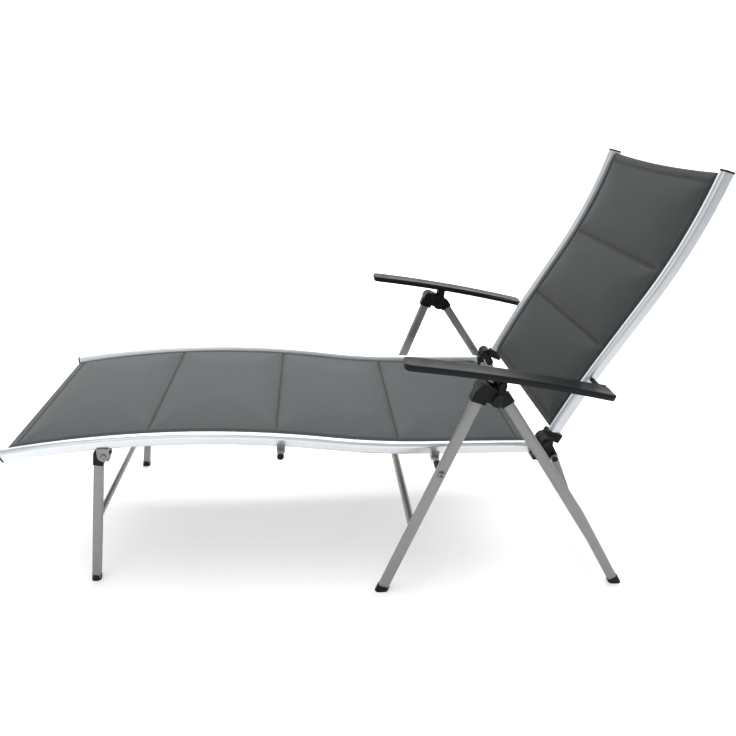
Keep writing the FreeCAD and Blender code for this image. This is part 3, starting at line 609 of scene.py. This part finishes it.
def arm_board(name, surface):
    """A moulded armrest over its CAD board: dished on top, hollow below, rounded in plan."""
    node = f"armrest_{name}"
    low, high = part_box(node)
    centre, half_width = (low.y + high.y) / 2, (high.y - low.y) / 2
    tops, bottoms = cast_line(node, UP, centre + half_width * 0.95, margin=ARM_MARGIN)
    line = Line(tops, UP, extend=ARM_MARGIN)
    thickness = (tops[5] - bottoms[5]).length
    rings = []
    for distance in np.linspace(0, line.length, ARM_RINGS):
        waist = ARM_WAIST * math.sin(math.pi * distance / line.length)
        gain = FRONT_GAIN * rounding(distance) + REAR_GAIN * rounding(line.length - distance)
        width = half_width * (ARM_TIP + gain - waist)
        rings.append([line.at(distance, centre + width * across, out * thickness)
                      for across, out in ARM_OUTLINE])
    board = new_object(f"arm_board_{name}", *loft(rings), f"arm_{name}", "arm_plastic")
    face_outwards(board)
    board.data.materials.append(surface)
    subdivide(board, 2)
    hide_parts(node)


def rounding(gap):
    """A quarter circle's height, from 0 at the end of an armrest to 1 where its rounding stops."""
    return math.sqrt(1 - (1 - min(1, gap / ARM_ROUNDING)) ** 2)


def prism(name, outline, across, body, slot, surface, edge):
    """A plate of a side-view outline between two depths across, with rounded edges."""
    rings = [[Vector((x, y, z)) for x, z in outline] for y in across]
    plate = new_object(name, *loft(rings), body, slot)
    face_outwards(plate)
    plate.data.materials.append(surface)
    soften(plate, edge, segments=3)


def arm_lug(name, side, surface):
    """The lug under an armrest that its pin goes through, between the bracket's plates."""
    pin = Vector(JOINTS[f"arm_{name}_lift"]["pos_m"])
    arc = [(pin.x + LUG_RADIUS * math.cos(turn), pin.z + LUG_RADIUS * math.sin(turn))
           for turn in np.linspace(-math.pi, 0, 13)]
    half_root = LUG_RADIUS * 1.6
    outline = [(pin.x - half_root, pin.z + LUG_RISE), *arc, (pin.x + half_root, pin.z + LUG_RISE)]
    across = sorted(side * face for face in LUG_FACES)
    prism(f"arm_lug_{name}", outline, across, f"arm_{name}", "arm_plastic", surface, 0.001)


# ---------------------------------------------------------------- hard pieces


def dress(prefixes, surface, edge):
    """Gives CAD nodes a material and softens their edges."""
    for name, solid in NODES.items():
        if name.startswith(prefixes):
            solid.data.materials.clear()
            solid.data.materials.append(surface)
            soften(solid, edge)


# ---------------------------------------------------------------- light, floor and camera


CAMERA_PLACE = (-0.0899, -1.4632, 1.1319)   # metres
CAMERA_TURN = (6.125, 24.381, 2.509)        # degrees to the right, down, and up at its right side
LENS = 29.36                                # millimetres, on a 36 mm sensor


def backdrop(surface):
    """A pale floor that curves up into a wall far behind."""
    near, far, height, bend, half_width = -4.0, 5.0, 5.0, 1.5, 9
    profile = [(near, 0.0)]
    for turn in np.linspace(0, math.pi / 2, 13):
        profile.append((far - bend + bend * math.sin(turn), bend - bend * math.cos(turn)))
    profile.append((far, height))
    vertices = [(x, y, z) for x in (-half_width, half_width) for y, z in profile]
    count = len(profile)
    faces = [(step, step + count, step + count + 1, step + 1) for step in range(count - 1)]
    mesh = bpy.data.meshes.new("backdrop")
    mesh.from_pydata(vertices, [], faces)
    mesh.shade_smooth()
    sweep = bpy.data.objects.new("backdrop", mesh)
    bpy.context.scene.collection.objects.link(sweep)
    mesh.materials.append(surface)


def area_light(name, location, target, size, power):
    """A soft rectangular light that faces a point."""
    data = bpy.data.lights.new(name, "AREA")
    data.shape = "RECTANGLE"
    data.size, data.size_y = size
    data.energy = power
    lamp = bpy.data.objects.new(name, data)
    lamp.location = location
    lamp.rotation_euler = (Vector(target) - Vector(location)).to_track_quat("-Z", "Y").to_euler()
    bpy.context.scene.collection.objects.link(lamp)


def lights():
    """A bright even room, a large light overhead, a weak one at the camera's side and one on the wall."""
    world = bpy.data.worlds.new("room")
    world.use_nodes = True
    background = world.node_tree.nodes["Background"]
    background.inputs["Color"].default_value = (1.0, 1.0, 1.0, 1)
    background.inputs["Strength"].default_value = 0.75
    bpy.context.scene.world = world
    area_light("overhead", (-0.3, 0.3, 3.2), (0, 0, 0.3), (3.0, 2.2), 75)
    area_light("fill", (-1.6, -3.2, 1.8), (0, 0, 0.5), (2.5, 1.5), 12)
    area_light("wall", (0, 2.6, 4.6), (0, 4.8, 1.6), (9.0, 1.2), 330)


def camera():
    """The camera, beside the lounger, turned a little to the head end and looking down."""
    yaw, pitch, roll = (math.radians(angle) for angle in CAMERA_TURN)
    ahead = Vector((math.sin(yaw) * math.cos(pitch), math.cos(yaw) * math.cos(pitch),
                    -math.sin(pitch)))
    level = Vector((math.cos(yaw), -math.sin(yaw), 0))
    above = level.cross(ahead)
    right = math.cos(roll) * level + math.sin(roll) * above
    above = -math.sin(roll) * level + math.cos(roll) * above
    data = bpy.data.cameras.new("camera")
    data.lens = LENS
    data.sensor_width = 36
    eye = bpy.data.objects.new("camera", data)
    turn = Matrix((right, above, -ahead)).transposed().to_4x4()
    eye.matrix_world = Matrix.Translation(CAMERA_PLACE) @ turn
    bpy.context.scene.collection.objects.link(eye)
    bpy.context.scene.camera = eye


def back_slope():
    """The angle of the back at rest, from its rail's box."""
    low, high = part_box("back_rail_left")
    return math.atan2(high.z - low.z, high.x - low.x)


def dress_frame(arm_plastic):
    """Gives every CAD node that shows its material and its edges."""
    seat_aluminium = aluminium("seat_aluminium", 0, (0.60, 0.625, 0.65))
    # The back rails are the same aluminium as the seat rails; this darker copy of it is painted shade for
    # the back rails.
    back_aluminium_painted_shade = aluminium("back_aluminium_painted_shade", back_slope(), (0.50, 0.52, 0.545))
    black = moulded("black_plastic", (0.006, 0.0068, 0.0078), 0.46, 1100)
    plated = steel("steel", (0.10, 0.10, 0.10), (0.25, 0.25, 0.245))
    blackened = steel("black_steel", (0.008, 0.009, 0.010), (0.022, 0.024, 0.026))
    dress(("seat_rail",), seat_aluminium, 0.0015)
    dress(("back_rail",), back_aluminium_painted_shade, 0.0015)
    dress(("front_leg", "rear_leg", "foot_leg", "front_stretcher", "rear_stretcher",
           "foot_stretcher", "middle_crossbar", "pivot_crossbar", "foot_crossbar",
           "back_crossbar", "crossbar_saddles", "foot_brackets", "hinge_link"), leg_paint(), 0.0012)
    dress(("knuckle_front", "knuckle_rear", "hinge_collar"), black, 0.0035)
    dress(("hinge_block", "front_shoes", "rear_shoes", "foot_shoes", "foot_forks",
           "crossbar_plugs", "back_top_caps", "foot_end_caps", "leg_bushes", "arm_bracket",
           "adjuster_studs"), black, 0.002)
    dress(("arm_rack",), arm_plastic, 0.001)
    dress(("leg_pivot_bolts", "foot_pins"), plated, 0.0006)
    dress(("hinge_pins", "link_pins", "arm_pin", "knuckle_bolts"), blackened, 0.0008)


def make_slings():
    """Both slings; each cloth has a dark and a light tone, and a pitch in metres."""
    slope = back_slope()
    thread = thread_material()
    seat_cloth = woven("seat_fabric", 0, (0.031, 0.036, 0.0375), (0.078, 0.088, 0.091), 0.0022)
    # The hem cloth's darker tone is the hem's own; where it also fills the seams, it is painted crease
    # shade.
    seat_hem_and_seam_shade = woven("seat_hem_and_seam_shade", 0, (0.015, 0.016, 0.016), (0.042, 0.0435, 0.043), 0.0016)
    seat = Sling("seat_sling", UP, 4, "seat_frame", seam_side=0.0018, sag=0.0)
    make_sling(seat, "seat_sling", "seat_fabric", seat_cloth, seat_hem_and_seam_shade, thread)
    # The back is the same cloth as the seat; its much darker tones, and those of its hem, are painted
    # shade on the back, which gets less light than the seat.
    back_cloth_painted_shade = woven("back_fabric", slope, (0.0085, 0.0105, 0.0107), (0.026, 0.031, 0.0315),
                       0.0022)
    back_hem_painted_shade = woven("back_hem_painted_shade", slope, (0.0035, 0.004, 0.004), (0.011, 0.0115, 0.011), 0.0016)
    back_up = Vector((-math.sin(slope), 0, math.cos(slope)))
    back = Sling("back_sling", back_up, 3, "backrest", seam_side=0.0035, sag=0.008)
    make_sling(back, "back_sling", "back_fabric", back_cloth_painted_shade, back_hem_painted_shade, thread)


def build():
    """Makes the looks of the whole lounger, its stage, the lights and the camera."""
    arm_plastic = moulded("arm_plastic", (0.0075, 0.0088, 0.0102), 0.42, 1400)
    dress_frame(arm_plastic)
    for name, side in SIDES.items():
        arm_board(name, arm_plastic)
        arm_lug(name, side, arm_plastic)
    make_slings()
    backdrop(floor_material())
    lights()
    camera()
    bpy.context.scene.view_settings.view_transform = "Standard"


build()
